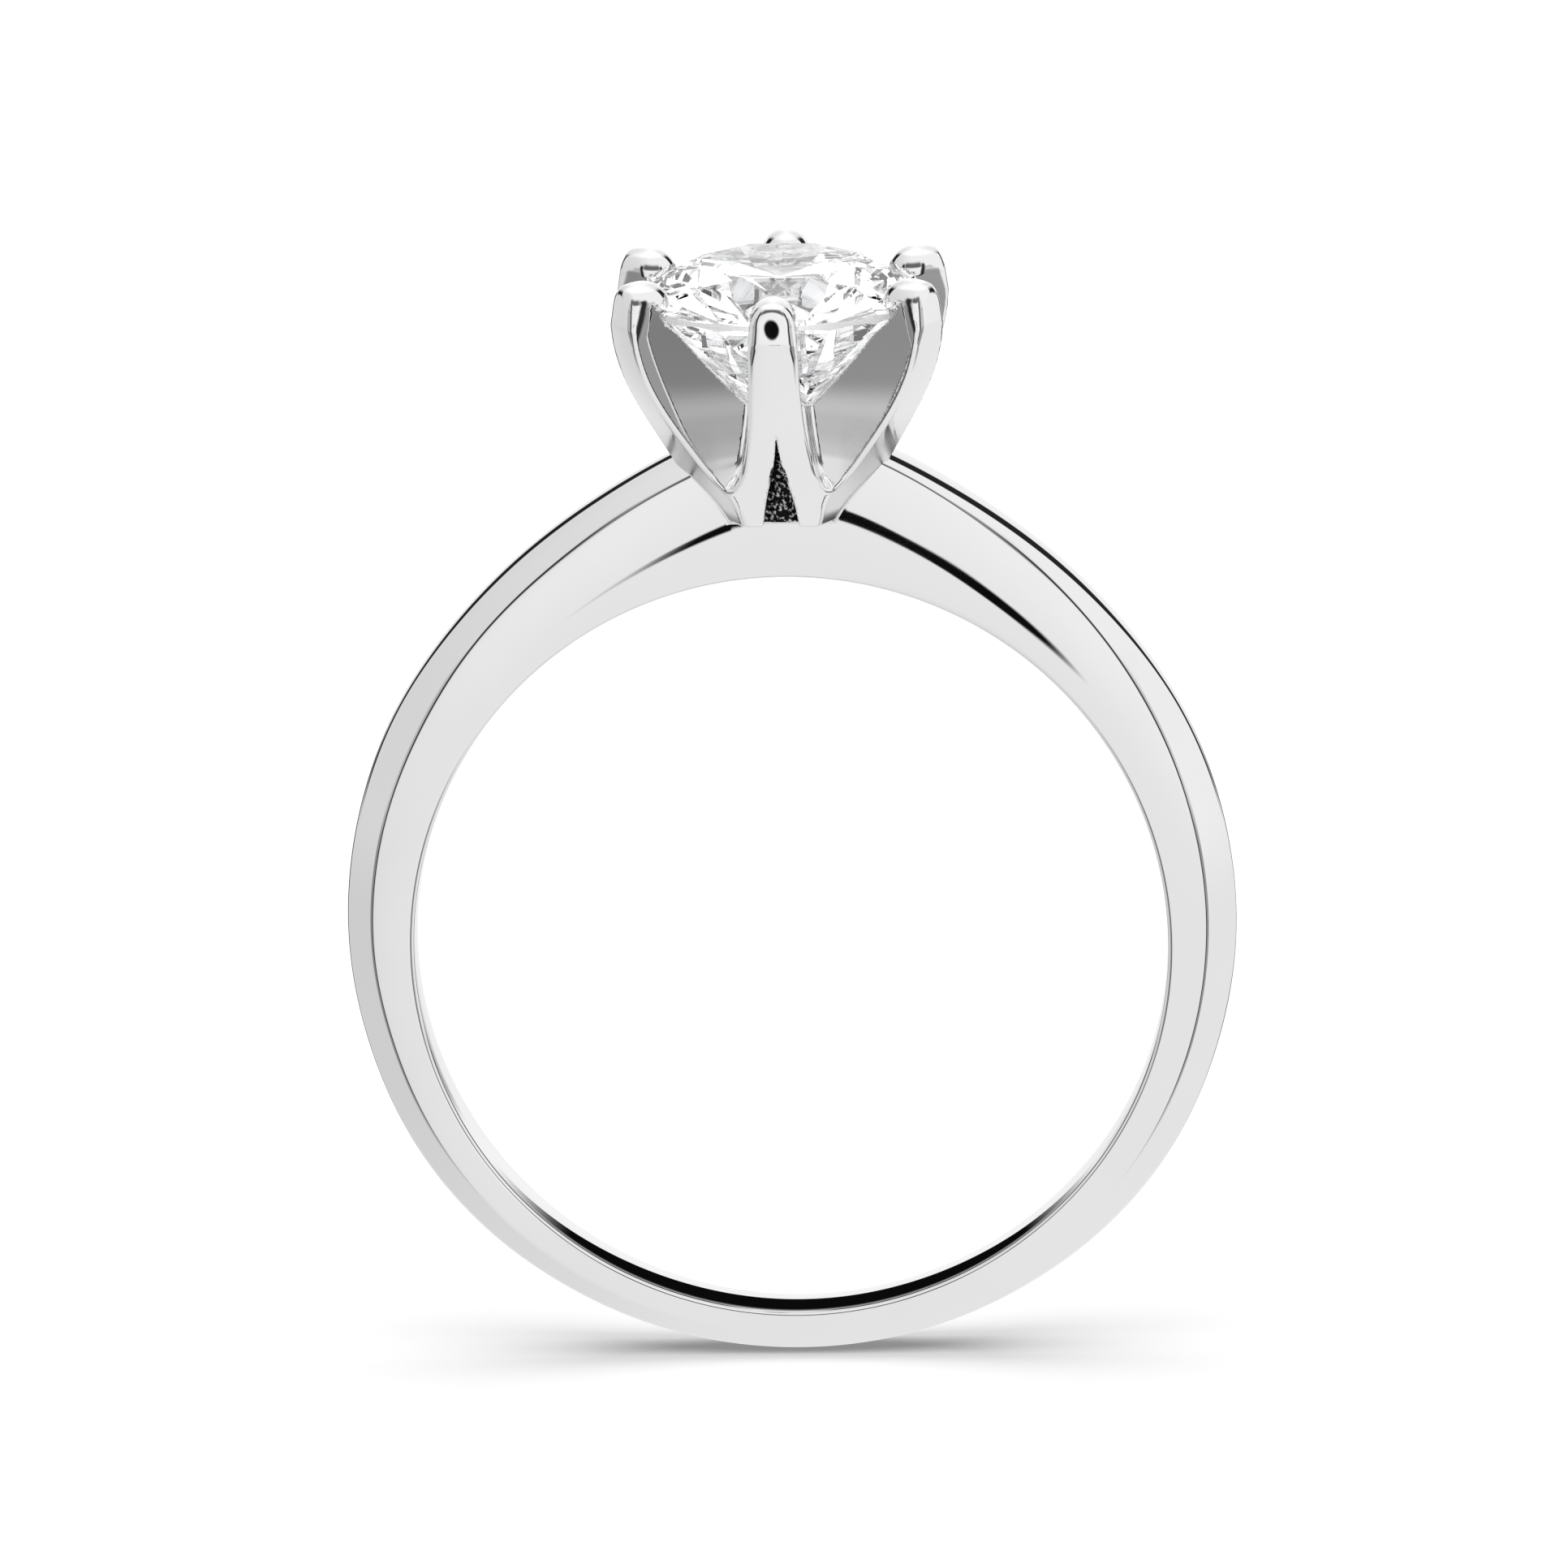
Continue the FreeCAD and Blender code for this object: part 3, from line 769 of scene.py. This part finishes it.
def studio_light(tree, way):
    """The studio as the metal sees it, by direction: white all round, with dark gaps between its lights."""
    x, y, z = split(tree, way)
    degrees = 180 / math.pi
    height = times(tree, calc(tree, "ARCSINE", z), degrees)
    bearing = times(tree, calc(tree, "ARCTAN2", x, times(tree, y, -1.0)), degrees)
    aside = calc(tree, "ABSOLUTE", bearing)

    def oval(centre, level, wide, tall, full):
        across = calc(tree, "DIVIDE", calc(tree, "SUBTRACT", bearing, centre), wide)
        up = calc(tree, "DIVIDE", calc(tree, "SUBTRACT", height, level), tall)
        return ramp(tree, length(tree, across, up), full, 2.0 - full, 1.0, 0.0)

    def shade(light, mask, depth):
        return times(tree, light, calc(tree, "SUBTRACT", 1.0, times(tree, mask, depth)))

    light = times(tree, ramp(tree, x, -1.0, 0.0, 0.78, 1.0), ramp(tree, height, -12.0, 2.0, 0.93, 1.02))
    light = shade(light, oval(*CLAW_SPOT, 0.85), 0.995)
    streak = oval(*STREAK, ramp(tree, bearing, *STREAK_TALL), 0.8)
    light = shade(light, times(tree, streak, ramp(tree, bearing, *STREAK_FADE)), 0.995)
    for bearings, heights, depth in GAPS:
        gap = times(tree, between(tree, aside, *bearings), between(tree, height, *heights))
        light = shade(light, gap, depth)
    off_centre = ramp(tree, calc(tree, "ABSOLUTE", x), 0.07, 0.17)
    behind = times(tree, between(tree, y, *BEHIND), ramp(tree, height, -4.0, 2.0), off_centre)
    light = shade(light, behind, 0.98)
    low = times(tree, between(tree, y, *BEHIND_LOW), between(tree, height, -22.0, -2.0, 3.0, 2.0))
    return shade(light, low, 0.97)


def stone_light(tree, way):
    """What the stone's facets gather: nearly even light, a little darker towards the viewer."""
    x, y, z = split(tree, way)
    facing = calc(tree, "ADD", times(tree, y, -0.97), times(tree, z, 0.23))
    return times(tree, ramp(tree, facing, 0.86, 0.93, 1.5, 0.5), ramp(tree, z, -0.5, 0.1, 0.75, 1.0))


def paper_light(tree, way):
    """The paper on the table is lit mostly from above."""
    return ramp(tree, split(tree, way)["Z"], -0.2, 1.0, 0.15, 1.0)


def make_world():
    """One light for each kind of ray: metal, stone, paper and the plain white background."""
    world = bpy.data.worlds.new("studio")
    bpy.context.scene.world = world
    world.use_nodes = True
    tree = world.node_tree
    tree.nodes.clear()
    way = node(tree, "ShaderNodeTexCoord").outputs["Generated"]

    def background(colour, strength=1.0):
        return node(tree, "ShaderNodeBackground", {"Color": colour, "Strength": strength})

    path = node(tree, "ShaderNodeLightPath").outputs
    onto_paper = calc(tree, "GREATER_THAN", path["Diffuse Depth"], 0.5)
    metal_or_stone = mix(tree, path["Is Transmission Ray"], background(studio_light(tree, way)),
                         background(stone_light(tree, way)))
    lit = mix(tree, onto_paper, metal_or_stone, background(paper_light(tree, way), 0.1))
    seen = mix(tree, path["Is Camera Ray"], lit, background((1, 1, 1, 1)))
    node(tree, "ShaderNodeOutputWorld", {"Surface": seen.outputs[0]})


def make_top_light():
    """A round soft light straight above, which draws the narrow shadow under the band."""
    data = bpy.data.lights.new("top_light", "AREA")
    data.shape = "DISK"
    data.size = TOP_LIGHT_SIZE
    data.energy = TOP_LIGHT_POWER
    light = bpy.data.objects.new("top_light", data)
    light.location = (0, 0, TOP_LIGHT_HEIGHT)
    light.visible_glossy = False
    light.visible_transmission = False
    light.visible_camera = False
    bpy.context.scene.collection.objects.link(light)


def make_camera():
    """A long lens, a little right of the ring's front and above it, with the ring leaning slightly left."""
    a, e, r = (math.radians(v) for v in (CAMERA_AZIMUTH, CAMERA_HEIGHT, CAMERA_ROLL))
    back = Vector((math.sin(a) * math.cos(e), -math.cos(a) * math.cos(e), math.sin(e)))
    level = Vector((math.cos(a), math.sin(a), 0))
    rise = back.cross(level)
    right = level * math.cos(r) - rise * math.sin(r)
    up = level * math.sin(r) + rise * math.cos(r)
    target = right * VIEW_CENTRE[0] + up * VIEW_CENTRE[1]
    eye = (target + back * VIEW_WIDTH * LENS / SENSOR) * MM
    data = bpy.data.cameras.new("camera")
    data.lens = LENS
    data.sensor_width = SENSOR
    data.clip_start = 0.01
    data.clip_end = 10.0
    camera = bpy.data.objects.new("camera", data)
    camera.matrix_world = Matrix.Translation(eye) @ Matrix((right, up, back)).transposed().to_4x4()
    bpy.context.scene.collection.objects.link(camera)
    bpy.context.scene.camera = camera


# ---------------------------------------------------------------- the scene
make_camera()
make_world()
make_top_light()
make_floor()

band = make_band()
dress(band, band_metal())
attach(band, "root")
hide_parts("shank")

head = make_head()
dress(head, head_metal())
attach(head, "root")
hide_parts("claw_head")

dress(frame["nodes"]["seat_solder"], solder_metal())
dress(frame["nodes"]["diamond"], diamond_glass())

scene = bpy.context.scene
scene.view_settings.view_transform = "Standard"
scene.cycles.max_bounces = 24
scene.cycles.glossy_bounces = 16
scene.cycles.transmission_bounces = 24
